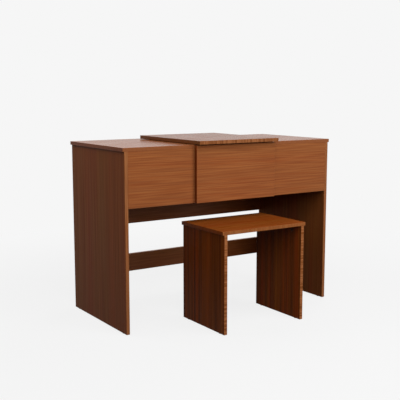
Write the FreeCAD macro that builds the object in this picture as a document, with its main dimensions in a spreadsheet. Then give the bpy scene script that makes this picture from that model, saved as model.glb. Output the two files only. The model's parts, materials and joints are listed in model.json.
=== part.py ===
"""Dressing table with a flip-up mirror lid, a drawer and a matching stool.

Frame: origin on the floor, in the middle of the footprint of table and stool together.
+X to the right, +Y to the back, +Z up, so the fronts face -Y. Lengths in millimetres.
"""
import FreeCAD, Part
import os
import re

SIZES = {
    # carcass boards
    "table_width": 1054,
    "table_depth": 493,
    "table_height": 750,
    "board": 15,
    "edge_round": 0.8,
    "top_overhang": 7,
    "front_height": 225,
    "back_height": 375,
    "rail_lift": 134,
    "rail_height": 82,
    # centre bay, its lid and the compartment under the lid
    "bay_width": 377,
    "lid_nose": 40,
    "lid_back_gap": 33,
    "hinge_rail_depth": 73,
    "tray_drop": 80,
    "bumper_radius": 5,
    "bumper_inset": 15,
    "bumper_play": 0.1,
    # lid hinges
    "hinge_length": 60,
    "hinge_inset": 68.5,
    "leaf": 1,
    "leaf_gap": 0.2,
    "leaf_depth": 26,
    "knuckle_radius": 2.5,
    "knuckle_skim": 0.3,
    "knuckle_gap": 0.2,
    "knuckle_clearance": 0.3,
    "pin_radius": 1.2,
    "pin_play": 0.05,
    "frame_screw_offset": 22,
    "lid_screw_offset": 14,
    # mirror under the lid and its clips
    "mirror_thickness": 4,
    "mirror_bevel": 0.6,
    "mirror_front_margin": 15,
    "mirror_side_margin": 23.5,
    "mirror_back_margin": 20,
    "clip_width": 18,
    "clip_foot": 14,
    "clip_lip": 5,
    "clip_cover": 1.6,
    "clip_play": 0.1,
    "clip_inset": 60,
    # drawer
    "drawer_front_gap": 2,
    "drawer_head_gap": 2,
    "drawer_lift": 30,
    "drawer_side": 12,
    "drawer_top_gap": 10,
    "drawer_back_gap": 60,
    "drawer_clearance": 1,
    "sheet_thickness": 3,
    "sheet_lift": 6,
    "sheet_groove": 6,
    "sheet_play": 0.1,
    "sheet_round": 0.6,
    "runner_height": 16,
    "runner_depth": 8,
    "runner_inset": 22,
    "runner_back_gap": 71,
    "runner_play": 0.2,
    "runner_end_gap": 4,
    # stool
    "stool_width": 408,
    "stool_depth": 305,
    "stool_head_room": 88,
    "seat_overhang": 8,
    "stool_reach": 216,
    # fasteners and glides
    "fit_play": 0.1,
    "cam_radius": 7.5,
    "cam_depth": 12.5,
    "cam_setback": 24,
    "cam_socket_radius": 2.5,
    "cam_socket_depth": 2.5,
    "bolt_radius": 3,
    "bolt_bite": 11,
    "dowel_radius": 4,
    "dowel_bite": 10,
    "dowel_length": 30,
    "small_dowel_radius": 3,
    "small_dowel_bite": 8,
    "small_dowel_length": 24,
    "screw_radius": 1.75,
    "screw_head_radius": 3.4,
    "hinge_screw_length": 12,
    "runner_screw_length": 19,
    "clip_screw_length": 16,
    "drawer_screw_length": 35,
    "glide_radius": 6.5,
    "glide_height": 2,
    "glide_inset": 35,
    "nail_radius": 1.2,
    "nail_length": 12,
    "overrun": 5,
}

# Where fittings sit along the edge that they join, as shares of that edge
PAIR_SHARES = (0.2, 0.8)
FRONT_DOWEL_SHARES = (0.2, 0.65)
RAIL_CAM_SHARE = 0.3
RAIL_DOWEL_SHARE = 0.7
MIDDLE_SHARE = 0.5
RUNNER_SCREW_SHARES = (0.1, 0.5, 0.9)
DRAWER_BACK_SCREW_SHARES = (0.25, 0.8)

SIDES = {-1: "left", 1: "right"}
TURNS = {
    "+x": FreeCAD.Rotation(FreeCAD.Vector(0, 1, 0), 90),
    "-x": FreeCAD.Rotation(FreeCAD.Vector(0, 1, 0), -90),
    "+y": FreeCAD.Rotation(FreeCAD.Vector(1, 0, 0), -90),
    "-y": FreeCAD.Rotation(FreeCAD.Vector(1, 0, 0), 90),
    "+z": FreeCAD.Rotation(),
    "-z": FreeCAD.Rotation(FreeCAD.Vector(1, 0, 0), 180),
}

doc = FreeCAD.newDocument("dressing_table")
sheet = doc.addObject("Spreadsheet::Sheet", "Sizes")
for row, (alias, value) in enumerate(SIZES.items(), start=1):
    sheet.set(f"A{row}", alias)
    sheet.set(f"B{row}", str(value))
    sheet.setAlias(f"B{row}", alias)
doc.recompute()

nodes = []
origins = {}


# Formulas: lengths and places as text in the sheet's own words

def formula(text):
    """The text with each of the sheet's words tied to its cell."""
    def cell(match):
        word = match.group()
        return f"Sizes.{word}" if word in SIZES else word
    return re.sub(r"[a-z_]+", cell, str(text))


def bind(item, **lengths):
    for name, text in lengths.items():
        item.setExpression(name, formula(text))


def put(item, place, turn="+z"):
    """Move the item to a place of three formulas, with its own Z turned to the given direction."""
    item.Placement = FreeCAD.Placement(FreeCAD.Vector(), TURNS[turn])
    for axis, text in zip("xyz", place):
        item.setExpression(f"Placement.Base.{axis}", formula(text))


def step(place, direction, length):
    """The place moved by a length along a direction."""
    axis = "xyz".index(direction[1])
    moved = list(place)
    moved[axis] = f"{place[axis]} {direction[0]} ({length})"
    return tuple(moved)


def opposite(direction):
    return {"+": "-", "-": "+"}[direction[0]] + direction[1]


def across(sign, near, far):
    """The low and high X of what lies between two distances on one side of the middle."""
    if sign > 0:
        return near, far
    return f"-({far})", f"-({near})"


def outward(sign):
    return "+x" if sign > 0 else "-x"


def deep(text):
    """The Y that lies this far behind the plane of the fixed fronts."""
    return f"(stool_reach - table_depth) / 2 + ({text})"


HALF = "table_width / 2"
INNER = "(table_width / 2 - board)"
BAY = "bay_width / 2"
BAY_OUT = "(bay_width / 2 + board)"
TOP = "table_height"
UNDER_TOP = "(table_height - board)"
FRONT_LOW = "(table_height - board - front_height)"
BACK_LOW = "(table_height - board - back_height)"
BACK_FACE = "table_depth - board"
TRAY_LOW = "(table_height - tray_drop - board)"
LID_GAP = "(2 * leaf + leaf_gap)"
LID_LOW = f"(table_height + {LID_GAP})"
LID_END = "table_depth - lid_back_gap"
AXIS_DEEP = f"({LID_END} + knuckle_clearance + knuckle_radius)"
AXIS_LIFT = "(knuckle_radius + knuckle_skim)"
BOX_LOW = f"({FRONT_LOW} + drawer_lift)"
BOX_TOP = f"({TRAY_LOW} - drawer_top_gap)"
BOX_OUT = "(bay_width / 2 - drawer_clearance)"
BOX_IN = "(bay_width / 2 - drawer_clearance - drawer_side)"
BOX_END = f"({BACK_FACE} - drawer_back_gap)"
RUNNER_END = f"({BACK_FACE} - runner_back_gap)"
MIRROR_HALF = "(bay_width / 2 - mirror_side_margin)"
MIRROR_NEAR = "(board + mirror_front_margin)"
MIRROR_FAR = "(table_depth - hinge_rail_depth - mirror_back_margin)"
HINGE_MIDDLE = "(bay_width / 2 - hinge_inset)"
STOOL_OUT = "stool_width / 2"
STOOL_IN = "(stool_width / 2 - board)"
STOOL_END = "(stool_depth - stool_reach)"
STOOL_TOP = f"({FRONT_LOW} - stool_head_room)"
STOOL_UNDER = f"({STOOL_TOP} - board)"


# Pieces: a body has features at places given in the object's frame

def feature(body, kind, place, turn="+z", **lengths):
    """Add a primitive to the body at a place in the object's frame."""
    item = body.newObject(f"PartDesign::{kind}", kind)
    bind(item, **lengths)
    local = [f"{text} - ({start})" for text, start in zip(place, origins[body.Name])]
    put(item, local, turn)
    return item


def new_body(name, place):
    body = doc.addObject("PartDesign::Body", name)
    body.Label = name
    origins[body.Name] = place
    put(body, place)
    return body


def block(body, kind, low, high):
    """A box between two corners, each of three formulas."""
    size = [f"{end} - ({start})" for start, end in zip(low, high)]
    return feature(body, kind, low, Length=size[0], Width=size[1], Height=size[2])


def drill(body, place, turn, radius, depth):
    feature(body, "SubtractiveCylinder", place, turn, Radius=radius, Height=depth)


def board(name, low, high, rounding="edge_round"):
    """A flat board with all its edges eased."""
    body = new_body(name, low)
    blank = block(body, "AdditiveBox", low, high)
    doc.recompute()
    easing = body.newObject("PartDesign::Fillet", "Easing")
    easing.Base = (blank, ["Face1"])
    easing.UseAllEdges = True
    bind(easing, Radius=rounding)
    nodes.append(body)
    return body


def group(name, bodies):
    """Identical small pieces kept together under one name."""
    item = doc.addObject("Part::Compound", name)
    item.Label = name
    item.Links = bodies
    nodes.append(item)


# Fittings: each makes its holes and hands back its own solids

class Fittings:
    """The knock-down fittings of one assembly."""

    def __init__(self):
        self.cams = []
        self.bolts = []
        self.dowels = []

    def lock(self, bolt_board, cam_board, place, toward, cam_face):
        """A bolt that leaves one board's face and enters the other's edge, drawn in by a cam."""
        channel = "bolt_radius + fit_play"
        drill(bolt_board, place, opposite(toward), channel, "bolt_bite + fit_play")
        drill(cam_board, place, toward, channel, "cam_setback")
        centre = step(place, toward, "cam_setback")
        mouth = step(centre, cam_face, "board / 2")
        inward = opposite(cam_face)
        outside = step(mouth, cam_face, "overrun")
        drill(cam_board, outside, inward, "cam_radius + fit_play", "cam_depth + fit_play + overrun")
        bolt = new_body("bolt", step(place, opposite(toward), "bolt_bite"))
        start = origins[bolt.Name]
        shank = "bolt_bite + cam_setback"
        feature(bolt, "AdditiveCylinder", start, toward, Radius="bolt_radius", Height=shank)
        cam = new_body("cam", mouth)
        feature(cam, "AdditiveCylinder", mouth, inward, Radius="cam_radius", Height="cam_depth")
        drill(cam, step(centre, toward, "fit_play"), opposite(toward), channel, "cam_radius + overrun")
        drill(cam, mouth, inward, "cam_socket_radius", "cam_socket_depth")
        self.bolts.append(bolt)
        self.cams.append(cam)

    def peg(self, face_board, edge_board, place, toward, size="dowel"):
        """A dowel from one board's face into the other's edge."""
        bore = f"{size}_radius + fit_play"
        drill(face_board, place, opposite(toward), bore, f"{size}_bite + fit_play")
        drill(edge_board, place, toward, bore, f"{size}_length - {size}_bite + fit_play")
        dowel = new_body("dowel", step(place, opposite(toward), f"{size}_bite"))
        start = origins[dowel.Name]
        feature(dowel, "AdditiveCylinder", start, toward, Radius=f"{size}_radius", Height=f"{size}_length")
        self.dowels.append(dowel)


def screw(pieces, place, toward, length):
    """A countersunk screw with its head flush at the place, and its hole in each piece."""
    head = "screw_head_radius"
    shank = "screw_radius"
    taper = f"{head} - {shank}"
    body = new_body("screw", place)
    feature(body, "AdditiveCone", place, toward, Radius1=head, Radius2=shank, Height=taper)
    feature(body, "AdditiveCylinder", place, toward, Radius=shank, Height=length)
    for piece in pieces:
        wide = f"{head} + fit_play"
        narrow = f"{shank} + fit_play"
        feature(piece, "SubtractiveCone", place, toward, Radius1=wide, Radius2=narrow, Height=taper)
        drill(piece, place, toward, narrow, f"{length} + fit_play")
    return body


def glide(panel, place):
    """A nailed foot glide under a panel's lower edge."""
    body = new_body("glide", place)
    feature(body, "AdditiveCylinder", place, Radius="glide_radius", Height="glide_height")
    feature(body, "AdditiveCylinder", place, Radius="nail_radius", Height="glide_height + nail_length")
    drill(panel, place, "+z", "nail_radius + fit_play", "glide_height + nail_length + fit_play")
    return body


def between(low, high, share):
    """The formula of the place at a share of the way from low to high."""
    return f"({low} + {share} * ({high} - ({low})))"


# Carcass boards

def side_panel(sign):
    low, high = across(sign, INNER, HALF)
    foot = (low, deep(0), "glide_height")
    return board(f"{SIDES[sign]}_side_panel", foot, (high, deep("table_depth"), UNDER_TOP))


def top_board(sign):
    low, high = across(sign, BAY, f"{HALF} + top_overhang")
    return board(f"{SIDES[sign]}_top_board", (low, deep(0), UNDER_TOP), (high, deep("table_depth"), TOP))


def front_panel(sign):
    low, high = across(sign, BAY_OUT, INNER)
    return board(f"{SIDES[sign]}_front_panel", (low, deep(0), FRONT_LOW), (high, deep("board"), UNDER_TOP))


def partition(sign):
    low, high = across(sign, BAY, BAY_OUT)
    return board(f"{SIDES[sign]}_partition", (low, deep(0), FRONT_LOW), (high, deep(BACK_FACE), UNDER_TOP))


def middle_board(name, half, near, far, low, high, rounding="edge_round"):
    """A board that lies across the middle plane."""
    return board(name, (f"-({half})", deep(near), low), (half, deep(far), high), rounding)


sides = {sign: side_panel(sign) for sign in SIDES}
tops = {sign: top_board(sign) for sign in SIDES}
fronts = {sign: front_panel(sign) for sign in SIDES}
walls = {sign: partition(sign) for sign in SIDES}
back = middle_board("back_panel", INNER, BACK_FACE, "table_depth", BACK_LOW, UNDER_TOP)
rail_top = "rail_lift + rail_height"
low_rail = middle_board("lower_back_rail", INNER, BACK_FACE, "table_depth", "rail_lift", rail_top)
hinge_rail = middle_board("hinge_rail", BAY, "table_depth - hinge_rail_depth", "table_depth", UNDER_TOP, TOP)
front_rail = middle_board("centre_front_rail", BAY, 0, "board", TRAY_LOW, TOP)
tray = middle_board("tray_floor", BAY, "board", BACK_FACE, TRAY_LOW, "table_height - tray_drop")


# Carcass fittings

carcass = Fittings()
for sign in SIDES:
    out = outward(sign)
    inward = opposite(out)
    side_middle = f"{sign} * ({INNER} + board / 2)"
    wall_middle = f"{sign} * ({BAY} + board / 2)"
    inner_face = f"{sign} * {INNER}"
    bay_face = f"{sign} * {BAY}"
    front_middle = deep("board / 2")
    back_middle = deep("table_depth - board / 2")
    for share in PAIR_SHARES:
        fore_and_aft = deep(f"{share} * table_depth")
        front_z = between(FRONT_LOW, UNDER_TOP, share)
        back_z = between(BACK_LOW, UNDER_TOP, share)
        rail_y = deep(f"table_depth - hinge_rail_depth * {share}")
        rail_z = between("(table_height - tray_drop)", UNDER_TOP, share)
        carcass.lock(sides[sign], fronts[sign], (inner_face, front_middle, front_z), inward, "+y")
        carcass.lock(sides[sign], back, (inner_face, back_middle, back_z), inward, "+y")
        carcass.lock(tops[sign], sides[sign], (side_middle, fore_and_aft, UNDER_TOP), "-z", inward)
        carcass.lock(tops[sign], walls[sign], (wall_middle, fore_and_aft, UNDER_TOP), "-z", out)
        carcass.lock(back, walls[sign], (wall_middle, deep(BACK_FACE), front_z), "-y", out)
        carcass.lock(walls[sign], tray, (bay_face, fore_and_aft, f"{TRAY_LOW} + board / 2"), inward, "-z")
        carcass.peg(tops[sign], hinge_rail, (bay_face, rail_y, f"{UNDER_TOP} + board / 2"), inward)
        carcass.peg(walls[sign], front_rail, (bay_face, front_middle, rail_z), inward)
    for share in FRONT_DOWEL_SHARES:
        place = (f"{sign} * {BAY_OUT}", front_middle, between(FRONT_LOW, UNDER_TOP, share))
        carcass.peg(walls[sign], fronts[sign], place, out)
    rail_cam_z = f"rail_lift + {RAIL_CAM_SHARE} * rail_height"
    rail_peg_z = f"rail_lift + {RAIL_DOWEL_SHARE} * rail_height"
    carcass.lock(sides[sign], low_rail, (inner_face, back_middle, rail_cam_z), inward, "+y")
    carcass.peg(sides[sign], low_rail, (inner_face, back_middle, rail_peg_z), inward)
    back_peg_z = between(BACK_LOW, UNDER_TOP, MIDDLE_SHARE)
    carcass.peg(sides[sign], back, (inner_face, back_middle, back_peg_z), inward)
    half_depth = deep(f"{MIDDLE_SHARE} * table_depth")
    carcass.peg(tops[sign], sides[sign], (side_middle, half_depth, UNDER_TOP), "-z")

glides = []
for sign in SIDES:
    for inset in ("glide_inset", "table_depth - glide_inset"):
        place = (f"{sign} * ({INNER} + board / 2)", deep(inset), "0")
        glides.append(glide(sides[sign], place))


# Lid, its hinges and the pads that it closes on

lid = middle_board("lid_board", BAY_OUT, "-lid_nose", LID_END, LID_LOW, f"{LID_LOW} + board")


def hinge_leaf(name, sign, floor, notches):
    """A leaf with its knuckles: the barrel runs the whole length, and notches clear the other leaf's."""
    start = f"{sign} * {HINGE_MIDDLE} - hinge_length / 2"
    end = f"{sign} * {HINGE_MIDDLE} + hinge_length / 2"
    axis_z = f"{TOP} + {AXIS_LIFT}"
    corner = (start, deep(f"{AXIS_DEEP} - leaf_depth"), floor)
    body = new_body(name, corner)
    block(body, "AdditiveBox", corner, (end, deep(AXIS_DEEP), f"{floor} + leaf"))
    axis = (start, deep(AXIS_DEEP), axis_z)
    feature(body, "AdditiveCylinder", axis, "+x", Radius="knuckle_radius", Height="hinge_length")
    drill(body, axis, "+x", "pin_radius + pin_play", "hinge_length")
    reach = "knuckle_radius + knuckle_clearance"
    for near, far in notches:
        low = (f"{start} + {near}", deep(f"{AXIS_DEEP} - ({reach})"), f"{TOP} - overrun")
        high = (f"{start} + {far}", deep(f"{AXIS_DEEP} + {reach}"), f"{axis_z} + {reach}")
        block(body, "SubtractiveBox", low, high)
    nodes.append(body)
    return body


def hinge_pin(name, sign):
    start = f"{sign} * {HINGE_MIDDLE} - hinge_length / 2"
    place = (start, deep(AXIS_DEEP), f"{TOP} + {AXIS_LIFT}")
    body = new_body(name, place)
    feature(body, "AdditiveCylinder", place, "+x", Radius="pin_radius", Height="hinge_length")
    nodes.append(body)


LID_LEAF_LOW = f"{LID_LOW} - leaf"
FIRST_THIRD = "hinge_length / 3"
LAST_THIRD = "2 * hinge_length / 3"
FRAME_NOTCHES = ((f"{FIRST_THIRD} - knuckle_gap", f"{LAST_THIRD} + knuckle_gap"),)
LID_NOTCHES = (("-overrun", FIRST_THIRD), (LAST_THIRD, "hinge_length + overrun"))
frame_screws = []
lid_screws = []
for sign in SIDES:
    frame_leaf = hinge_leaf(f"{SIDES[sign]}_hinge_frame_leaf", sign, TOP, FRAME_NOTCHES)
    lid_leaf = hinge_leaf(f"{SIDES[sign]}_hinge_lid_leaf", sign, LID_LEAF_LOW, LID_NOTCHES)
    hinge_pin(f"{SIDES[sign]}_hinge_pin", sign)
    for side in SIDES:
        screw_y = deep(f"{AXIS_DEEP} - leaf_depth / 2")
        place = (f"{sign} * {HINGE_MIDDLE} + {side} * frame_screw_offset", screw_y, f"{TOP} + leaf")
        frame_screws.append(screw((frame_leaf, hinge_rail), place, "-z", "hinge_screw_length"))
        place = (f"{sign} * {HINGE_MIDDLE} + {side} * lid_screw_offset", screw_y, LID_LEAF_LOW)
        lid_screws.append(screw((lid_leaf, lid), place, "+z", "hinge_screw_length"))

lid_pads = []
for sign in SIDES:
    for inset in ("board / 2", "table_depth - hinge_rail_depth + board / 2"):
        place = (f"{sign} * ({BAY} - bumper_inset)", deep(inset), TOP)
        pad = new_body("pad", place)
        feature(pad, "AdditiveCylinder", place, Radius="bumper_radius", Height=f"{LID_GAP} - bumper_play")
        lid_pads.append(pad)


# Mirror on the lid's lower face

MIRROR_LOW = f"{LID_LOW} - mirror_thickness"
middle_board("lid_mirror", MIRROR_HALF, MIRROR_NEAR, MIRROR_FAR, MIRROR_LOW, LID_LOW, "mirror_bevel")


def mirror_clip(sign, middle):
    """A clip beside the glass, with a lip that holds the glass to the lid."""
    low_x, high_x = across(sign, f"{MIRROR_HALF} - clip_lip", f"{MIRROR_HALF} + clip_foot")
    low = (low_x, deep(f"{middle} - clip_width / 2"), f"{MIRROR_LOW} - clip_cover")
    high = (high_x, deep(f"{middle} + clip_width / 2"), LID_LOW)
    body = new_body("clip", low)
    block(body, "AdditiveBox", low, high)
    low_x, high_x = across(sign, f"{MIRROR_HALF} - clip_lip - overrun", f"{MIRROR_HALF} + clip_play")
    low = (low_x, deep(f"{middle} - clip_width"), f"{MIRROR_LOW} - clip_play")
    high = (high_x, deep(f"{middle} + clip_width"), f"{LID_LOW} + overrun")
    block(body, "SubtractiveBox", low, high)
    return body


clips = []
clip_screws = []
for sign in SIDES:
    for middle in (f"{MIRROR_NEAR} + clip_inset", f"{MIRROR_FAR} - clip_inset"):
        clip = mirror_clip(sign, middle)
        place = (f"{sign} * ({MIRROR_HALF} + clip_foot / 2)", deep(middle), f"{MIRROR_LOW} - clip_cover")
        clip_screws.append(screw((clip, lid), place, "+z", "clip_screw_length"))
        clips.append(clip)


# Drawer: front, box and the strips that it runs on

DRAWER_FACE = "-drawer_front_gap"
RUNNER_MIDDLE = f"(({BOX_LOW} + {BOX_TOP}) / 2)"
face_near = "-drawer_front_gap - board"
face_top = "table_height - drawer_head_gap"
drawer_front = middle_board("drawer_front", BAY_OUT, face_near, DRAWER_FACE, FRONT_LOW, face_top)
sheet_low = f"{BOX_LOW} + sheet_lift"
sheet_high = f"{sheet_low} + sheet_thickness"
groove_low = f"{sheet_low} - sheet_play"
groove_high = f"{sheet_high} + sheet_play"
drawer_back = middle_board("drawer_back", BOX_IN, f"{BOX_END} - drawer_side", BOX_END, sheet_high, BOX_TOP)
sheet_half = f"{BOX_IN} + sheet_groove - sheet_play"
sheet_near = "-drawer_front_gap - sheet_groove + sheet_play"
middle_board("drawer_bottom", sheet_half, sheet_near, BOX_END, sheet_low, sheet_high, "sheet_round")
groove_half = f"{BOX_IN} + sheet_groove"
low = (f"-({groove_half})", deep("-drawer_front_gap - sheet_groove"), groove_low)
high = (groove_half, deep(f"{DRAWER_FACE} + overrun"), groove_high)
block(drawer_front, "SubtractiveBox", low, high)


def drawer_side(sign):
    """A box side with a groove inside for the bottom sheet and one outside for the runner."""
    low_x, high_x = across(sign, BOX_IN, BOX_OUT)
    low = (low_x, deep(DRAWER_FACE), BOX_LOW)
    body = board(f"drawer_{SIDES[sign]}_side", low, (high_x, deep(BOX_END), BOX_TOP))
    low_x, high_x = across(sign, f"{BOX_IN} - overrun", groove_half)
    far = f"{BOX_END} + overrun"
    low = (low_x, deep(f"{DRAWER_FACE} - overrun"), groove_low)
    block(body, "SubtractiveBox", low, (high_x, deep(far), groove_high))
    low_x, high_x = across(sign, f"{BAY} - runner_depth - runner_play", f"{BOX_OUT} + overrun")
    low = (low_x, deep("runner_inset - runner_end_gap"), f"{RUNNER_MIDDLE} - runner_height / 2 - runner_play")
    high = (high_x, deep(far), f"{RUNNER_MIDDLE} + runner_height / 2 + runner_play")
    block(body, "SubtractiveBox", low, high)
    return body


def drawer_runner(sign):
    low_x, high_x = across(sign, f"{BAY} - runner_depth", BAY)
    low = (low_x, deep("runner_inset"), f"{RUNNER_MIDDLE} - runner_height / 2")
    high = (high_x, deep(RUNNER_END), f"{RUNNER_MIDDLE} + runner_height / 2")
    return board(f"{SIDES[sign]}_drawer_runner", low, high)


box = Fittings()
runner_screws = []
drawer_screws = []
drawer_pads = []
for sign in SIDES:
    out = outward(sign)
    side = drawer_side(sign)
    runner = drawer_runner(sign)
    for share in RUNNER_SCREW_SHARES:
        along = deep(between("runner_inset", RUNNER_END, share))
        place = (f"{sign} * ({BAY} - runner_depth)", along, RUNNER_MIDDLE)
        runner_screws.append(screw((runner, walls[sign]), place, out, "runner_screw_length"))
    for share in PAIR_SHARES:
        height = between(BOX_LOW, BOX_TOP, share)
        place = (f"{sign} * ({BOX_IN} + drawer_side / 2)", deep(DRAWER_FACE), height)
        box.peg(drawer_front, side, place, "+y", "small_dowel")
    for share in DRAWER_BACK_SCREW_SHARES:
        height = between(BOX_LOW, BOX_TOP, share)
        place = (f"{sign} * {BOX_OUT}", deep(f"{BOX_END} - drawer_side / 2"), height)
        drawer_screws.append(screw((side, drawer_back), place, opposite(out), "drawer_screw_length"))
    for height in (f"{FRONT_LOW} + bumper_inset", f"{UNDER_TOP} - bumper_inset"):
        place = (f"{sign} * ({BAY} + board / 2)", deep(DRAWER_FACE), height)
        pad = new_body("pad", place)
        thickness = "drawer_front_gap - bumper_play"
        feature(pad, "AdditiveCylinder", place, "+y", Radius="bumper_radius", Height=thickness)
        drawer_pads.append(pad)


# Stool

seat_half = f"{STOOL_OUT} + seat_overhang"
seat = middle_board("stool_seat", seat_half, "-stool_reach", STOOL_END, STOOL_UNDER, STOOL_TOP)
stool = Fittings()
stool_glides = []
for sign in SIDES:
    low_x, high_x = across(sign, STOOL_IN, STOOL_OUT)
    low = (low_x, deep("-stool_reach"), "glide_height")
    panel = board(f"stool_{SIDES[sign]}_panel", low, (high_x, deep(STOOL_END), STOOL_UNDER))
    middle_x = f"{sign} * ({STOOL_IN} + board / 2)"
    for share in PAIR_SHARES:
        place = (middle_x, deep(f"{share} * stool_depth - stool_reach"), STOOL_UNDER)
        stool.lock(seat, panel, place, "-z", opposite(outward(sign)))
    stool.peg(seat, panel, (middle_x, deep(f"{MIDDLE_SHARE} * stool_depth - stool_reach"), STOOL_UNDER), "-z")
    for inset in ("glide_inset - stool_reach", f"{STOOL_END} - glide_inset"):
        stool_glides.append(glide(panel, (middle_x, deep(inset), "0")))


# Small pieces kept in groups

group("cam_locks", carcass.cams)
group("cam_bolts", carcass.bolts)
group("dowels", carcass.dowels)
group("foot_glides", glides)
group("hinge_frame_screws", frame_screws)
group("hinge_lid_screws", lid_screws)
group("lid_bumpers", lid_pads)
group("mirror_clips", clips)
group("mirror_clip_screws", clip_screws)
group("runner_screws", runner_screws)
group("drawer_dowels", box.dowels)
group("drawer_screws", drawer_screws)
group("drawer_bumpers", drawer_pads)
group("stool_cam_locks", stool.cams)
group("stool_cam_bolts", stool.bolts)
group("stool_dowels", stool.dowels)
group("stool_glides", stool_glides)

doc.recompute()
for item in doc.Objects:
    if {"Invalid", "Error"} & set(item.State):
        raise RuntimeError(f"{item.Label} failed: {item.State}")
for node in nodes:
    if node.Shape.isNull() or not node.Shape.isValid():
        raise RuntimeError(f"{node.Label} has no valid shape")

os.makedirs("parts", exist_ok=True)
for node in nodes:
    node.Shape.exportStep(f"parts/{node.Label}.step")
print(len(nodes), "nodes,", sum(len(node.Shape.Solids) for node in nodes), "solids")
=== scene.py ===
"""Looks of the dressing table: its finishes, the floor, the light and the camera.

Lengths are in metres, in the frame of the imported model: +X right, +Y back, +Z up, fronts facing -Y.
"""
import json
import math

import bmesh
import bpy
from mathutils import Matrix, Vector


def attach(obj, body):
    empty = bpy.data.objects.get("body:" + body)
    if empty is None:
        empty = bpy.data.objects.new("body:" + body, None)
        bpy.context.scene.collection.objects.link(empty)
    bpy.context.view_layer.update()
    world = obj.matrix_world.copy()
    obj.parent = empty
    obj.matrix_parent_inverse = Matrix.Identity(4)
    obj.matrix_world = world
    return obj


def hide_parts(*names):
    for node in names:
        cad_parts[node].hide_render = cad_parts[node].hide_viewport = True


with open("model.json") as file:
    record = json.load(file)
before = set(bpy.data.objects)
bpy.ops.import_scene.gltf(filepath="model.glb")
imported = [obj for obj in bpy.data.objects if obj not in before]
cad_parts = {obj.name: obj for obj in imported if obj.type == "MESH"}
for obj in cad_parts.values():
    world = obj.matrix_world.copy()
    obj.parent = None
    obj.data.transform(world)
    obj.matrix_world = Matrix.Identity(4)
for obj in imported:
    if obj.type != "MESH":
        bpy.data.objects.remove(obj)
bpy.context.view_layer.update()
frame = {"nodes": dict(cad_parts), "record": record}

MM = 0.001
AXES = "xyz"
# Sockets of a Mix node between two colours, which share their names with those between two numbers
SHARE, FROM, TO, MIXED = 0, 6, 7, 2
# Share of the normal that lies along a board's thickness: at least the first on a face, and at most the
# second on an edge
ON_FACE = 0.8
ON_EDGE = 0.6


# Nodes and colours

def colour(code):
    """Linear RGBA of an sRGB hex colour."""
    def linear(part):
        return part / 12.92 if part <= 0.04045 else ((part + 0.055) / 1.055) ** 2.4
    parts = [int(code[i:i + 2], 16) / 255 for i in (1, 3, 5)]
    return (*map(linear, parts), 1)


def add(tree, kind, inputs=None, **settings):
    """Add a node with its settings. Each input takes a value, or another node's output to link."""
    made = tree.nodes.new(kind)
    for name, value in settings.items():
        setattr(made, name, value)
    for name, value in (inputs or {}).items():
        if isinstance(value, bpy.types.NodeSocket):
            tree.links.new(value, made.inputs[name])
        else:
            made.inputs[name].default_value = value
    return made


def new_material(name):
    """A material and its empty node tree."""
    material = bpy.data.materials.new(name)
    material.use_nodes = True
    material.node_tree.nodes.clear()
    return material, material.node_tree


# Finishes

def marks(tree, place, size, cover=(0, 1), most=1, detail=2, shift=0):
    """How much each spot is marked, from 0 to most, by soft marks of this size along x, y and z, in mm.
    Cover is the range of the noise from bare to fully marked. Shift moves the marks, so that two kinds
    of about one size don't fall on the same spots."""
    marks_per_metre = [1 / (MM * length) for length in size]
    scaled = add(tree, "ShaderNodeVectorMath", {0: place, 1: marks_per_metre, 2: [shift] * 3},
                 operation="MULTIPLY_ADD")
    noise = add(tree, "ShaderNodeTexNoise", {"Vector": scaled.outputs[0], "Scale": 1, "Detail": detail})
    marked = add(tree, "ShaderNodeMapRange", {"Value": noise.outputs[0], "From Min": cover[0],
                                              "From Max": cover[1], "To Max": most})
    return marked.outputs[0]


def rounded_edges(tree, width):
    """Normal that is rounded over a piece's sharp edges, and how far it turns there from the flat face.
    The width of the rounding is in mm. The finishes paint rims paler by how far it turns, partly as wear
    and partly as a painted highlight."""
    still_flat = 0.99
    fully_turned = 0.8
    rounded = add(tree, "ShaderNodeBevel", {"Radius": width * MM}, samples=6)
    flat = add(tree, "ShaderNodeNewGeometry")
    agree = add(tree, "ShaderNodeVectorMath", {0: rounded.outputs[0], 1: flat.outputs["Normal"]},
                operation="DOT_PRODUCT")
    turn = add(tree, "ShaderNodeMapRange", {"Value": agree.outputs["Value"], "From Min": still_flat,
                                            "From Max": fully_turned})
    return rounded.outputs[0], turn.outputs[0]


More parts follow.
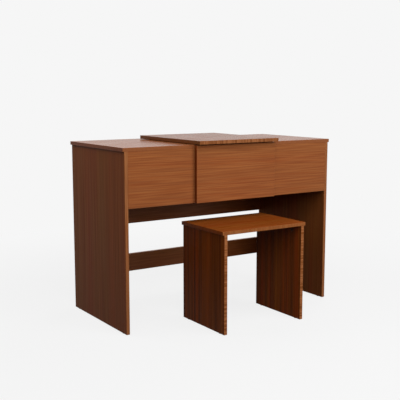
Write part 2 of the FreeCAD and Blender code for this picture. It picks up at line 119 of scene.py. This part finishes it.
def wood_laminate(name, thin, grain, tones, edge_tones, specular, satin,
                  bands=60, reach=110, stripes=0.2, ends=None):
    """Printed wood-grain melamine on particle board, pressed to a satin face. The eye sees fine streaks
    along the grain, slow bands from red to tan, edge bands beside the faces, and rims paler in patches,
    partly rubbed and partly a painted highlight along the rounded edges.
    Thin is the axis of the board's thickness, and grain the one that the streaks follow. Tones are the
    print's red, tan, dark and pale. Bands is the width of the bands and reach the length of the streaks,
    in mm, and stripes is the share of the dark tone in the broad stripes. Satin is the roughness of the
    face from bare print to dark lines. The print doesn't change through the board. Its streaks are drawn
    a few times wider than real pores, to show at this size. Ends gives the axis along which edge bands
    printed as end grain face, and their tones."""
    material, tree = new_material(name)
    cross = (set(AXES) - {thin, grain}).pop()
    deepest_line = 0.45
    whole_board = 1500

    def along(width, length, depth=300):
        """Size along x, y and z of marks this wide and long on the face, and this deep in the board."""
        return [{thin: depth, grain: length, cross: width}[axis] for axis in AXES]

    def edge_band(size, pair):
        """Colour of an edge band, in a pair of tones with marks of this size."""
        line = marks(tree, place, size, cover=(0.42, 0.6))
        band = add(tree, "ShaderNodeMix", {SHARE: line, FROM: colour(pair[0]), TO: colour(pair[1])},
                   data_type="RGBA")
        return band.outputs[MIXED]

    coords = add(tree, "ShaderNodeTexCoord")
    place = coords.outputs["Object"]
    sway = marks(tree, place, along(60, 420, depth=400), detail=1)
    sway_reach = [2 * MM if axis == cross else 0 for axis in AXES]
    swayed = add(tree, "ShaderNodeVectorMath", {0: sway, 1: sway_reach, 2: place},
                 operation="MULTIPLY_ADD").outputs[0]
    red, tan, dark, pale = (colour(code) for code in tones)
    band = marks(tree, swayed, along(bands, whole_board), cover=(0.38, 0.62))
    look = add(tree, "ShaderNodeMix", {SHARE: band, FROM: red, TO: tan}, data_type="RGBA")
    stripe = marks(tree, swayed, along(bands / 2, whole_board), cover=(0.4, 0.65), most=stripes,
                   detail=1, shift=0.9)
    streak = marks(tree, swayed, along(4.6, reach), cover=(0.3, 0.7), most=0.38, detail=0, shift=2.3)
    line = marks(tree, swayed, along(5.2, 1.3 * reach), cover=(0.3, 0.7), most=deepest_line,
                 detail=0, shift=2.7)
    pore = marks(tree, swayed, along(1.1, 32), cover=(0.6, 0.7), most=0.3, shift=0.5)
    for mark, tone in ((stripe, dark), (streak, pale), (line, dark), (pore, dark)):
        look = add(tree, "ShaderNodeMix", {SHARE: mark, FROM: look.outputs[MIXED], TO: tone},
                   data_type="RGBA")

    facing = add(tree, "ShaderNodeVectorMath", {0: coords.outputs["Normal"]}, operation="ABSOLUTE")
    facing = add(tree, "ShaderNodeSeparateXYZ", {0: facing.outputs[0]})
    edge = edge_band(along(160, 160, depth=3), edge_tones)
    if ends:
        end_axis, end_tones = ends
        end_grain = edge_band(along(4, 4, depth=120), end_tones)
        edge = add(tree, "ShaderNodeMix", {SHARE: facing.outputs[AXES.index(end_axis)], FROM: edge,
                                           TO: end_grain}, data_type="RGBA").outputs[MIXED]
    on_edge = add(tree, "ShaderNodeMapRange", {"Value": facing.outputs[AXES.index(thin)],
                                               "From Min": ON_FACE, "From Max": ON_EDGE})
    look = add(tree, "ShaderNodeMix", {SHARE: on_edge.outputs[0], FROM: look.outputs[MIXED], TO: edge},
               data_type="RGBA")
    rounded, turn = rounded_edges(tree, width=1.5)
    # Rims paler in patches: partly rubbed wear and partly a painted highlight along the rounded edges
    paler_rims = add(tree, "ShaderNodeMath", {0: turn, 1: marks(tree, place, (30, 30, 30))},
                 operation="MULTIPLY")
    look = add(tree, "ShaderNodeMix", {SHARE: paler_rims.outputs[0], FROM: look.outputs[MIXED], TO: pale},
               data_type="RGBA")

    rough = add(tree, "ShaderNodeMapRange", {"Value": line, "From Max": deepest_line,
                                             "To Min": satin[0], "To Max": satin[1]})
    bump = add(tree, "ShaderNodeBump", {"Height": pore, "Strength": 0.3, "Distance": 0.1 * MM,
                                        "Normal": rounded}, invert=True)
    shader = add(tree, "ShaderNodeBsdfPrincipled",
                 {"Base Color": look.outputs[MIXED], "Roughness": rough.outputs[0], "IOR": 1.5,
                  "Specular IOR Level": specular, "Normal": bump.outputs[0]})
    add(tree, "ShaderNodeOutputMaterial", {"Surface": shader.outputs[0]})
    return material


def hardboard():
    """Pressed wood fibre, smooth on both sides: short fibres lie every way in a brown matt sheet, with
    dark specks. The fibres are drawn coarser than real ones, to show at this size."""
    material, tree = new_material("hardboard")
    scattered = (0.58, 0.72)
    place = add(tree, "ShaderNodeTexCoord").outputs["Object"]
    tone = marks(tree, place, (45, 45, 45))
    pale_fibre = marks(tree, place, (1.2, 9, 4), cover=scattered, most=0.7, shift=1.2)
    dark_fibre = marks(tree, place, (9, 1.2, 4), cover=scattered, most=0.7, shift=9)
    speck = marks(tree, place, (2, 2, 2), cover=scattered, most=0.7, shift=2)
    look = add(tree, "ShaderNodeMix", {SHARE: tone, FROM: colour("#6E4A2E"), TO: colour("#87603C")},
               data_type="RGBA")
    for mark, shade in ((pale_fibre, "#9A7450"), (dark_fibre, "#5C3C24"), (speck, "#3E2818")):
        look = add(tree, "ShaderNodeMix", {SHARE: mark, FROM: look.outputs[MIXED], TO: colour(shade)},
                   data_type="RGBA")
    bump = add(tree, "ShaderNodeBump", {"Height": speck, "Strength": 0.3, "Distance": 0.15 * MM},
               invert=True)
    rough = add(tree, "ShaderNodeMapRange", {"Value": tone, "To Min": 0.45, "To Max": 0.65})
    shader = add(tree, "ShaderNodeBsdfPrincipled",
                 {"Base Color": look.outputs[MIXED], "Roughness": rough.outputs[0], "IOR": 1.5,
                  "Specular IOR Level": 0.3, "Normal": bump.outputs[0]})
    add(tree, "ShaderNodeOutputMaterial", {"Surface": shader.outputs[0]})
    return material


def beech():
    """Planed beech, unfinished: pale pinkish wood with slow growth bands and its many short dark flecks
    along y."""
    material, tree = new_material("beech")
    place = add(tree, "ShaderNodeTexCoord").outputs["Object"]
    ring = marks(tree, place, (6, 240, 6))
    look = add(tree, "ShaderNodeMix", {SHARE: ring, FROM: colour("#C79C72"), TO: colour("#AE8058")},
               data_type="RGBA")
    fleck = marks(tree, place, (0.7, 4, 0.7), cover=(0.6, 0.68), most=0.7, detail=1)
    rounded, turn = rounded_edges(tree, width=0.8)
    # The rounded rims are painted paler: a painted highlight along the edges
    for mark, shade in ((fleck, "#7E5434"), (turn, "#D4B08A")):
        look = add(tree, "ShaderNodeMix", {SHARE: mark, FROM: look.outputs[MIXED], TO: colour(shade)},
                   data_type="RGBA")
    bump = add(tree, "ShaderNodeBump", {"Height": fleck, "Strength": 0.25, "Distance": 0.1 * MM,
                                        "Normal": rounded}, invert=True)
    rough = add(tree, "ShaderNodeMapRange", {"Value": ring, "To Min": 0.5, "To Max": 0.66})
    shader = add(tree, "ShaderNodeBsdfPrincipled",
                 {"Base Color": look.outputs[MIXED], "Roughness": rough.outputs[0], "IOR": 1.5,
                  "Specular IOR Level": 0.25, "Normal": bump.outputs[0]})
    add(tree, "ShaderNodeOutputMaterial", {"Surface": shader.outputs[0]})
    return material


def mirror_glass():
    """Float glass silvered on its back: a clear bright face towards the sitter, faintly clouded by wiping,
    ground edges with the green of thick glass, and grey backing paint against the lid. The grind is drawn
    coarser than it is, to show at this size."""
    material, tree = new_material("silvered_float_glass")
    coords = add(tree, "ShaderNodeTexCoord")
    place = coords.outputs["Object"]
    up = add(tree, "ShaderNodeSeparateXYZ", {0: coords.outputs["Normal"]}).outputs["Z"]
    silvered = add(tree, "ShaderNodeMapRange", {"Value": up, "From Min": -ON_EDGE,
                                                "From Max": -ON_FACE}).outputs[0]
    backed = add(tree, "ShaderNodeMapRange", {"Value": up, "From Min": ON_EDGE,
                                              "From Max": ON_FACE}).outputs[0]
    cloud = marks(tree, place, (70, 25, 70), cover=(0.35, 0.75), detail=3)
    grind = marks(tree, place, (4, 4, 1.5))
    silver = add(tree, "ShaderNodeMix", {SHARE: cloud, FROM: colour("#E2E6E4"), TO: colour("#E7EAE8")},
                 data_type="RGBA")
    green = add(tree, "ShaderNodeMix", {SHARE: grind, FROM: colour("#4C7C6A"), TO: colour("#86B4A2")},
                data_type="RGBA")
    paint = add(tree, "ShaderNodeMix", {SHARE: cloud, FROM: colour("#6A6E70"), TO: colour("#7C8082")},
                data_type="RGBA")
    look = green
    for side, cover in ((silvered, silver), (backed, paint)):
        look = add(tree, "ShaderNodeMix", {SHARE: side, FROM: look.outputs[MIXED],
                                           TO: cover.outputs[MIXED]}, data_type="RGBA")
    clear = add(tree, "ShaderNodeMapRange", {"Value": cloud, "To Min": 0.015, "To Max": 0.05})
    rough = add(tree, "ShaderNodeMix", {"Factor": silvered, "A": 0.35, "B": clear.outputs[0]})
    shader = add(tree, "ShaderNodeBsdfPrincipled",
                 {"Base Color": look.outputs[MIXED], "Roughness": rough.outputs[0], "Metallic": silvered})
    add(tree, "ShaderNodeOutputMaterial", {"Surface": shader.outputs[0]})
    return material


def plated_steel():
    """Stamped or headed steel with a thin nickel plate: bright, faintly streaked by the press, duller
    where it rubs. The streaks are drawn coarser than they are, to show at this size."""
    material, tree = new_material("nickel_plated_steel")
    most_dull = 0.5
    place = add(tree, "ShaderNodeTexCoord").outputs["Object"]
    drag = marks(tree, place, (14, 0.5, 0.5), detail=3)
    dull = marks(tree, place, (5, 5, 5), cover=(0.45, 0.8), most=most_dull, detail=3)
    rounded, turn = rounded_edges(tree, width=0.3)
    look = add(tree, "ShaderNodeMix", {SHARE: drag, FROM: colour("#B9B4AA"), TO: colour("#D6D2CA")},
               data_type="RGBA")
    # The rounded rims are painted brighter: a painted highlight along the edges
    for mark, shade in ((dull, "#A09A90"), (turn, "#E2DFD8")):
        look = add(tree, "ShaderNodeMix", {SHARE: mark, FROM: look.outputs[MIXED], TO: colour(shade)},
                   data_type="RGBA")
    rough = add(tree, "ShaderNodeMapRange", {"Value": dull, "From Max": most_dull,
                                             "To Min": 0.24, "To Max": 0.38})
    bump = add(tree, "ShaderNodeBump", {"Height": drag, "Strength": 0.15, "Distance": 0.05 * MM,
                                        "Normal": rounded})
    shader = add(tree, "ShaderNodeBsdfPrincipled",
                 {"Base Color": look.outputs[MIXED], "Roughness": rough.outputs[0], "Metallic": 1,
                  "Normal": bump.outputs[0]})
    add(tree, "ShaderNodeOutputMaterial", {"Surface": shader.outputs[0]})
    return material


def bronzed_zinc():
    """Die-cast zinc lacquered brown to match the boards: dark and satin, grey metal showing on rubbed
    rims. The mottle of the casting is drawn coarser than it is, to show at this size."""
    material, tree = new_material("bronzed_zinc")
    place = add(tree, "ShaderNodeTexCoord").outputs["Object"]
    cast = marks(tree, place, (1.5, 1.5, 1.5), cover=(0.3, 0.7), detail=3)
    rounded, turn = rounded_edges(tree, width=0.4)
    paler_rims = add(tree, "ShaderNodeMath", {0: turn, 1: cast}, operation="MULTIPLY").outputs[0]
    look = add(tree, "ShaderNodeMix", {SHARE: cast, FROM: colour("#3A2010"), TO: colour("#54301A")},
               data_type="RGBA")
    look = add(tree, "ShaderNodeMix", {SHARE: paler_rims, FROM: look.outputs[MIXED], TO: colour("#8C7C6A")},
               data_type="RGBA")
    rough = add(tree, "ShaderNodeMapRange", {"Value": cast, "To Min": 0.4, "To Max": 0.55})
    bump = add(tree, "ShaderNodeBump", {"Height": cast, "Strength": 0.25, "Distance": 0.05 * MM,
                                        "Normal": rounded})
    shader = add(tree, "ShaderNodeBsdfPrincipled",
                 {"Base Color": look.outputs[MIXED], "Roughness": rough.outputs[0], "Metallic": paler_rims,
                  "Specular IOR Level": 0.05, "Normal": bump.outputs[0]})
    add(tree, "ShaderNodeOutputMaterial", {"Surface": shader.outputs[0]})
    return material


def moulded(name, tones, rough_range, grit, specular):
    """A moulded plastic or rubber of two close tones: a fine grain from the mould, and rims paler in the
    third tone, partly scuffed and partly a painted highlight along the rounded edges. Grit is the size of
    the grain in mm, drawn coarser than it is, to show at this size."""
    material, tree = new_material(name)
    place = add(tree, "ShaderNodeTexCoord").outputs["Object"]
    flow = marks(tree, place, (12, 12, 12))
    grain = marks(tree, place, (grit, grit, grit), cover=(0.3, 0.7), detail=1)
    rounded, turn = rounded_edges(tree, width=0.5)
    look = add(tree, "ShaderNodeMix", {SHARE: flow, FROM: colour(tones[0]), TO: colour(tones[1])},
               data_type="RGBA")
    # Rims paler in the third tone: partly scuffing and partly a painted highlight
    look = add(tree, "ShaderNodeMix", {SHARE: turn, FROM: look.outputs[MIXED], TO: colour(tones[2])},
               data_type="RGBA")
    rough = add(tree, "ShaderNodeMapRange", {"Value": grain, "To Min": rough_range[0],
                                             "To Max": rough_range[1]})
    bump = add(tree, "ShaderNodeBump", {"Height": grain, "Strength": 0.2, "Distance": 0.03 * MM,
                                        "Normal": rounded})
    shader = add(tree, "ShaderNodeBsdfPrincipled",
                 {"Base Color": look.outputs[MIXED], "Roughness": rough.outputs[0],
                  "Specular IOR Level": specular, "Normal": bump.outputs[0]})
    add(tree, "ShaderNodeOutputMaterial", {"Surface": shader.outputs[0]})
    return material


# Tones of the printed faces: red, tan, dark and pale. BACK and TOP are darker copies of the
# fronts' print: painted shade on the back panels, seen under the table, and on the lid.
FRONT = ("#934F28", "#94562D", "#784228", "#B37342")
TOP = ("#803E13", "#82481B", "#683312", "#A06238")
SEAT = ("#90400F", "#914C15", "#73360F", "#B16934")
BACK = ("#7E3E12", "#804719", "#673210", "#9F6135")
PANEL = ("#843D1C", "#7C491E", "#602B0F", "#96582D")
STOOL_PANEL = ("#923B0F", "#81450F", "#532308", "#A85A22")
# Tones of the edge bands, between their lines and on them. DARK_BAND, LID_BAND and SHADED_BAND are
# darker than the rest: painted shade on the edges that face along x on the tops, seat and lid, and on
# every edge of the fronts.
BAND = ("#A3683F", "#8C5230")
TOP_BAND = ("#935834", "#8F5432")
DARK_BAND = ("#86421A", "#743610")
LID_BAND = ("#74421A", "#653610")
SHADED_BAND = ("#7E3A12", "#6A2E0E")
SEAT_BAND = ("#9E6034", "#8C5028")
STOOL_BAND = ("#AC6C42", "#7E461E")
END_GRAIN = ("#9E643D", "#784422")
# Roughness of the upright faces
DULL = (0.4, 0.5)

FINISHES = {
    "laminate_upright": wood_laminate("upright_laminate", thin="x", grain="z", tones=PANEL,
                                      edge_tones=BAND, specular=0.03, satin=DULL,
                                      bands=90, reach=400, stripes=0.35),
    "laminate_front": wood_laminate("front_laminate", thin="y", grain="x", tones=FRONT,
                                    edge_tones=SHADED_BAND, specular=0.12, satin=DULL,
                                    reach=160, stripes=0.05),
    "laminate_back": wood_laminate("back_laminate", thin="y", grain="x", tones=BACK,
                                   edge_tones=BAND, specular=0.25, satin=DULL),
    "laminate_top": wood_laminate("top_laminate", thin="z", grain="x", tones=FRONT,
                                  edge_tones=DARK_BAND, specular=0.05, satin=(0.19, 0.29),
                                  ends=("y", TOP_BAND)),
    "laminate_lid": wood_laminate("lid_laminate", thin="z", grain="y", tones=TOP,
                                  edge_tones=LID_BAND, specular=0.06, satin=(0.21, 0.31),
                                  ends=("y", END_GRAIN)),
    "laminate_seat": wood_laminate("seat_laminate", thin="z", grain="x", tones=SEAT,
                                   edge_tones=DARK_BAND, specular=0.05, satin=(0.25, 0.35),
                                   bands=40, ends=("y", SEAT_BAND)),
    "laminate_stool": wood_laminate("stool_laminate", thin="x", grain="z", tones=STOOL_PANEL,
                                    edge_tones=STOOL_BAND, specular=0.03, satin=DULL,
                                    bands=50, reach=400, stripes=1, ends=("y", STOOL_BAND)),
    "laminate_drawer": wood_laminate("drawer_laminate", thin="x", grain="y", tones=FRONT,
                                     edge_tones=BAND, specular=0.2, satin=DULL, bands=40),
    "hardboard": hardboard(),
    "beech": beech(),
    "mirror_glass": mirror_glass(),
    "plated_steel": plated_steel(),
    "cast_zinc": bronzed_zinc(),
    "clip_plastic": moulded("milky_polycarbonate", ("#C8CECD", "#DCE0DF", "#EEF0EF"),
                            rough_range=(0.15, 0.3), grit=2, specular=0.5),
    "glide_plastic": moulded("polyethylene", ("#2A1C16", "#382620", "#5C4A40"),
                             rough_range=(0.45, 0.6), grit=0.6, specular=0.3),
    "pad_rubber": moulded("silicone_rubber", ("#AEB0AC", "#BEC0BC", "#CED0CC"),
                          rough_range=(0.4, 0.55), grit=0.8, specular=0.4),
}
SLOTS = {part["node"]: part["material_slot"] for part in frame["record"]["subparts"]}

for node, slot_name in SLOTS.items():
    for slot in frame["nodes"][node].material_slots:
        slot.material = FINISHES[slot_name]
# The drawer's back lies across, so its print runs as on the fronts.
for slot in frame["nodes"]["drawer_back"].material_slots:
    slot.material = FINISHES["laminate_front"]


# Crosses for the driver, in the screws and cam locks

def cross_cutter(span, depth):
    """A tapered cross that points down from a little above z = 0, with arms a third of its span wide."""
    above = 0.2 * MM
    taper = 0.6
    shape = bmesh.new()
    bmesh.ops.create_grid(shape, x_segments=3, y_segments=3, size=span / 2)
    corners = [face for face in shape.faces if any(len(vert.link_faces) == 1 for vert in face.verts)]
    bmesh.ops.delete(shape, geom=corners, context="FACES")
    top = bmesh.ops.extrude_face_region(shape, geom=shape.faces[:])["geom"]
    raised = {part for part in top if isinstance(part, bmesh.types.BMVert)}
    lowered = [vert for vert in shape.verts if vert not in raised]
    bmesh.ops.translate(shape, vec=(0, 0, above), verts=list(raised))
    bmesh.ops.scale(shape, vec=(taper, taper, 1), verts=lowered)
    bmesh.ops.translate(shape, vec=(0, 0, -depth), verts=lowered)
    bmesh.ops.recalc_face_normals(shape, faces=shape.faces)
    mesh = bpy.data.meshes.new("cross")
    shape.to_mesh(mesh)
    shape.free()
    return mesh


def separate_pieces(shape):
    """The vertices of each loose piece of a mesh, in the order of the pieces' first vertices."""
    known = set()
    for first in shape.verts:
        piece = set()
        newest = {first} - known
        while newest:
            piece |= newest
            newest = {edge.other_vert(vert) for vert in newest for edge in vert.link_edges} - piece
        if piece:
            yield piece
        known |= piece


def head_place(verts):
    """Where a screw's or cam's head faces, as a matrix whose z points out of the head. The head is the end
    with the wider or fuller rim."""
    low, high = (Vector([pick(vert.co[i] for vert in verts) for i in range(3)]) for pick in (min, max))
    size = high - low
    axis = max(range(3), key=lambda i: abs(size[i] - sorted(size)[1]))
    middle = (low + high) / 2
    slack = 0.01 * MM

    def rim(end):
        """How wide and full the rim at this end is."""
        at_end = [vert for vert in verts if abs(vert.co[axis] - end[axis]) < slack]
        return sum((vert.co - middle).length for vert in at_end)

    end = max((low, high), key=rim)
    out = Vector([0, 0, 0])
    out[axis] = end[axis] - middle[axis]
    return Matrix.Translation(middle + out) @ out.to_track_quat("Z", "Y").to_matrix().to_4x4()


def cross_headed(name, body, span, depth):
    """The node's screws or cams, each with a cross cut into its head."""
    shape = bmesh.new()
    shape.from_mesh(frame["nodes"][name].data)
    bmesh.ops.remove_doubles(shape, verts=shape.verts, dist=0.001 * MM)
    cutter = cross_cutter(span, depth)
    cuts = bmesh.new()
    for verts in separate_pieces(shape):
        known = len(cuts.verts)
        cuts.from_mesh(cutter)
        cuts.verts.ensure_lookup_table()
        bmesh.ops.transform(cuts, matrix=head_place(verts), verts=cuts.verts[known:])
    pair = []
    for made in (shape, cuts):
        mesh = bpy.data.meshes.new(f"{name}_crossed")
        made.to_mesh(mesh)
        made.free()
        pair.append(bpy.data.objects.new(mesh.name, mesh))
        bpy.context.scene.collection.objects.link(pair[-1])
    piece, tool = pair
    cut = piece.modifiers.new("cross", "BOOLEAN")
    cut.operation = "DIFFERENCE"
    cut.solver = "EXACT"
    cut.object = tool
    whole = piece.data
    evaluated = piece.evaluated_get(bpy.context.evaluated_depsgraph_get())
    piece.data = bpy.data.meshes.new_from_object(evaluated)
    piece.modifiers.remove(cut)
    for spare in (tool.data, whole, cutter):
        bpy.data.meshes.remove(spare)
    slot_name = SLOTS[name]
    piece.data.materials.clear()
    piece.data.materials.append(FINISHES[slot_name])
    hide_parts(name)
    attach(piece, body)


# The bodies that the screws and cam locks ride on
SCREWS = {"hinge_frame_screws": "table", "hinge_lid_screws": "lid", "mirror_clip_screws": "lid",
          "runner_screws": "table", "drawer_screws": "drawer"}
CAM_LOCKS = {"cam_locks": "table", "stool_cam_locks": "stool"}

for name, body in SCREWS.items():
    cross_headed(name, body, span=4.2 * MM, depth=1.2 * MM)
for name, body in CAM_LOCKS.items():
    cross_headed(name, body, span=9 * MM, depth=1.5 * MM)


# Floor, light and camera

BACKGROUND = colour("#F6F6F6")
LAMP_TARGET = Vector((0, -0.1, 0.5))


def background_rays(tree):
    """1 for the rays that show the background: straight from the camera, mirrored, or through glass."""
    path = add(tree, "ShaderNodeLightPath")
    seen = add(tree, "ShaderNodeMath", {0: path.outputs["Is Camera Ray"], 1: path.outputs["Is Glossy Ray"]},
               operation="MAXIMUM")
    either = add(tree, "ShaderNodeMath", {0: seen.outputs[0], 1: path.outputs["Is Transmission Ray"]},
                 operation="MAXIMUM")
    return either.outputs[0]


def studio_floor():
    """Seamless white paper: it keeps a soft part of the shadow near the object and fades into the
    background. It throws as little light back onto the object as a dark floor would."""
    fade_start = 0.7
    fade_end = 2.2
    reach = 20
    material, tree = new_material("studio_paper")
    material.cycles.emission_sampling = "NONE"
    coords = add(tree, "ShaderNodeTexCoord")
    away = add(tree, "ShaderNodeVectorMath", {0: coords.outputs["Object"]}, operation="LENGTH")
    glow_share = add(tree, "ShaderNodeMapRange",
                     {"Value": away.outputs["Value"], "From Min": fade_start, "From Max": fade_end,
                      "To Min": 0.9, "To Max": 1}, interpolation_type="SMOOTHSTEP")
    paper = add(tree, "ShaderNodeBsdfDiffuse", {"Color": BACKGROUND})
    glow = add(tree, "ShaderNodeEmission", {"Color": BACKGROUND, "Strength": 1})
    shown = add(tree, "ShaderNodeMixShader",
                {0: glow_share.outputs[0], 1: paper.outputs[0], 2: glow.outputs[0]})
    dim = add(tree, "ShaderNodeBsdfDiffuse", {"Color": colour("#302E2C")})
    surface = add(tree, "ShaderNodeMixShader",
                  {0: background_rays(tree), 1: dim.outputs[0], 2: shown.outputs[0]})
    add(tree, "ShaderNodeOutputMaterial", {"Surface": surface.outputs[0]})
    shape = bmesh.new()
    bmesh.ops.create_grid(shape, x_segments=1, y_segments=1, size=reach)
    mesh = bpy.data.meshes.new("floor")
    shape.to_mesh(mesh)
    shape.free()
    mesh.materials.append(material)
    floor = bpy.data.objects.new("floor", mesh)
    bpy.context.scene.collection.objects.link(floor)


def studio_world():
    """A backdrop of the background's colour, and a faint light from all round."""
    world = bpy.data.worlds.new("studio")
    bpy.context.scene.world = world
    world.use_nodes = True
    world.cycles.sampling_method = "NONE"
    tree = world.node_tree
    tree.nodes.clear()
    room = add(tree, "ShaderNodeBackground", {"Color": colour("#FFFFFF"), "Strength": 0.035})
    shown = add(tree, "ShaderNodeBackground", {"Color": BACKGROUND, "Strength": 1})
    surface = add(tree, "ShaderNodeMixShader",
                  {0: background_rays(tree), 1: room.outputs[0], 2: shown.outputs[0]})
    add(tree, "ShaderNodeOutputWorld", {"Surface": surface.outputs[0]})


def softbox(name, place, width, height, power):
    """A lamp turned to the object, which lights its faces and isn't mirrored in them."""
    lamp = bpy.data.lights.new(name, "AREA")
    lamp.shape = "RECTANGLE"
    lamp.size = width
    lamp.size_y = height
    lamp.energy = power
    holder = bpy.data.objects.new(name, lamp)
    holder.location = place
    holder.rotation_euler = (LAMP_TARGET - Vector(place)).to_track_quat("-Z", "Y").to_euler()
    holder.visible_camera = False
    holder.visible_glossy = False
    bpy.context.scene.collection.objects.link(holder)


def photo_camera():
    """The camera of the photo, fitted to the straight edges of the table and stool."""
    camera = bpy.data.cameras.new("photo")
    camera.lens = 68.52
    camera.sensor_width = 36
    holder = bpy.data.objects.new("photo", camera)
    holder.location = (-1.8922, -2.7513, 0.9645)
    holder.rotation_euler = (math.radians(81.91), 0, math.radians(-33.28))
    bpy.context.scene.collection.objects.link(holder)
    bpy.context.scene.camera = holder


studio_floor()
studio_world()
softbox("upper_softbox", (-0.3, -1.5, 2.5), width=1.4, height=1.2, power=28)
softbox("right_softbox", (1.5, -2.7, 1.65), width=1.8, height=1.6, power=52)
softbox("left_softbox", (-1.91, -2.37, 1.7), width=2.6, height=1.4, power=28)
softbox("side_softbox", (-1.3, 0.7, 2.05), width=1, height=1, power=12)
softbox("rear_softbox", (2.38, 1.56, 1.85), width=2, height=2, power=35)
photo_camera()
bpy.context.scene.view_settings.view_transform = "Standard"
